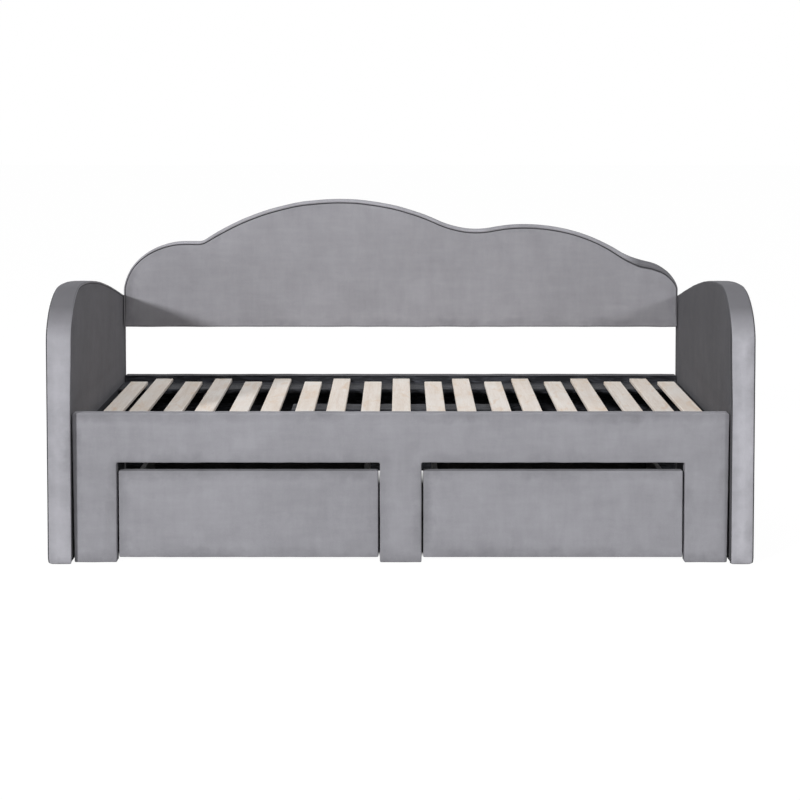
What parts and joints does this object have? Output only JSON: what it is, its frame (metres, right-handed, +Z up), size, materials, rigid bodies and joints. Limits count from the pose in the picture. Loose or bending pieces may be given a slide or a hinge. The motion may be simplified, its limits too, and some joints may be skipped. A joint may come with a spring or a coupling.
{
  "type": "upholstered storage daybed",
  "caption": "Padded velvet daybed with tall round-shouldered arms, a wavy-topped backrest, a slatted deck and drawers that roll out from under the front rail.",
  "frame": {"origin": "middle of the bed's length and depth, on the floor", "axes": "+X towards the right-hand arm as seen from the front, +Y towards the backrest, +Z up"},
  "size_m": [2.066, 1.11, 1.0059],
  "materials": {
    "velvet": "short-pile velvet, slate grey, softly mottled where the pile lies",
    "frame_board": "plain particle and ply board",
    "slat_wood": "pale planed softwood, unvarnished",
    "lining": "thin black non-woven cloth over board",
    "drawer_board": "grey laminated board",
    "steel": "zinc plated",
    "wheel_plastic": "moulded black nylon"
  },
  "bodies": {
    "frame": {"arm_left_cover": "velvet", "arm_right_cover": "velvet", "arm_left_board": "frame_board", "arm_right_board": "frame_board", "backrest_cover": "velvet", "backrest_board": "frame_board", "back_bolt_left": "steel", "back_bolt_right": "steel", "front_rail_cover": "velvet", "front_rail_board": "frame_board", "rear_rail_cover": "velvet", "rear_rail_board": "frame_board", "front_ledger": "lining", "rear_ledger": "lining", "center_beam": "lining", "center_leg_left": "lining", "center_leg_right": "lining", "slat_01": "slat_wood", "slat_02": "slat_wood", "slat_03": "slat_wood", "slat_04": "slat_wood", "slat_05": "slat_wood", "slat_06": "slat_wood", "slat_07": "slat_wood", "slat_08": "slat_wood", "slat_09": "slat_wood", "slat_10": "slat_wood", "slat_11": "slat_wood", "slat_12": "slat_wood", "slat_13": "slat_wood", "slat_14": "slat_wood", "slat_15": "slat_wood", "slat_16": "slat_wood", "slat_17": "slat_wood", "slat_18": "slat_wood", "slat_19": "slat_wood"},
    "drawer_left": {"drawer_left_front_cover": "velvet", "drawer_left_front_board": "frame_board", "drawer_left_bottom": "drawer_board", "drawer_left_side_left": "drawer_board", "drawer_left_side_right": "drawer_board", "drawer_left_back": "drawer_board", "drawer_left_channel_left": "steel", "drawer_left_channel_right": "steel"},
    "drawer_right": {"drawer_right_front_cover": "velvet", "drawer_right_front_board": "frame_board", "drawer_right_bottom": "drawer_board", "drawer_right_side_left": "drawer_board", "drawer_right_side_right": "drawer_board", "drawer_right_back": "drawer_board", "drawer_right_channel_left": "steel", "drawer_right_channel_right": "steel"},
    "left_front_left_wheel": {"left_wheel_front_left": "wheel_plastic"},
    "left_front_right_wheel": {"left_wheel_front_right": "wheel_plastic"},
    "left_rear_left_wheel": {"left_wheel_rear_left": "wheel_plastic"},
    "left_rear_right_wheel": {"left_wheel_rear_right": "wheel_plastic"},
    "right_front_left_wheel": {"right_wheel_front_left": "wheel_plastic"},
    "right_front_right_wheel": {"right_wheel_front_right": "wheel_plastic"},
    "right_rear_left_wheel": {"right_wheel_rear_left": "wheel_plastic"},
    "right_rear_right_wheel": {"right_wheel_rear_right": "wheel_plastic"}
  },
  "joints": [
    {"name": "drawer_left_slide", "type": "slide", "parent": "frame", "child": "drawer_left", "axis": [0, -1, 0], "range_m": [0, 0.4]},
    {"name": "drawer_right_slide", "type": "slide", "parent": "frame", "child": "drawer_right", "axis": [0, -1, 0], "range_m": [0, 0.4]},
    {"name": "left_front_left_spin", "type": "hinge", "parent": "drawer_left", "child": "left_front_left_wheel", "pos_m": [-0.7579, -0.4417, 0.015], "axis": [1, 0, 0], "continuous": true},
    {"name": "left_front_right_spin", "type": "hinge", "parent": "drawer_left", "child": "left_front_right_wheel", "pos_m": [-0.1363, -0.4417, 0.015], "axis": [1, 0, 0], "continuous": true},
    {"name": "left_rear_left_spin", "type": "hinge", "parent": "drawer_left", "child": "left_rear_left_wheel", "pos_m": [-0.7579, -0.0975, 0.015], "axis": [1, 0, 0], "continuous": true},
    {"name": "left_rear_right_spin", "type": "hinge", "parent": "drawer_left", "child": "left_rear_right_wheel", "pos_m": [-0.1363, -0.0975, 0.015], "axis": [1, 0, 0], "continuous": true},
    {"name": "right_front_left_spin", "type": "hinge", "parent": "drawer_right", "child": "right_front_left_wheel", "pos_m": [0.1363, -0.4417, 0.015], "axis": [1, 0, 0], "continuous": true},
    {"name": "right_front_right_spin", "type": "hinge", "parent": "drawer_right", "child": "right_front_right_wheel", "pos_m": [0.7579, -0.4417, 0.015], "axis": [1, 0, 0], "continuous": true},
    {"name": "right_rear_left_spin", "type": "hinge", "parent": "drawer_right", "child": "right_rear_left_wheel", "pos_m": [0.1363, -0.0975, 0.015], "axis": [1, 0, 0], "continuous": true},
    {"name": "right_rear_right_spin", "type": "hinge", "parent": "drawer_right", "child": "right_rear_right_wheel", "pos_m": [0.7579, -0.0975, 0.015], "axis": [1, 0, 0], "continuous": true}
  ],
  "couplings": [
    {"joint": "left_front_left_spin", "follows": "drawer_left_slide", "rad_per_m": 66.667},
    {"joint": "left_front_right_spin", "follows": "drawer_left_slide", "rad_per_m": 66.667},
    {"joint": "left_rear_left_spin", "follows": "drawer_left_slide", "rad_per_m": 66.667},
    {"joint": "left_rear_right_spin", "follows": "drawer_left_slide", "rad_per_m": 66.667},
    {"joint": "right_front_left_spin", "follows": "drawer_right_slide", "rad_per_m": 66.667},
    {"joint": "right_front_right_spin", "follows": "drawer_right_slide", "rad_per_m": 66.667},
    {"joint": "right_rear_left_spin", "follows": "drawer_right_slide", "rad_per_m": 66.667},
    {"joint": "right_rear_right_spin", "follows": "drawer_right_slide", "rad_per_m": 66.667}
  ]
}
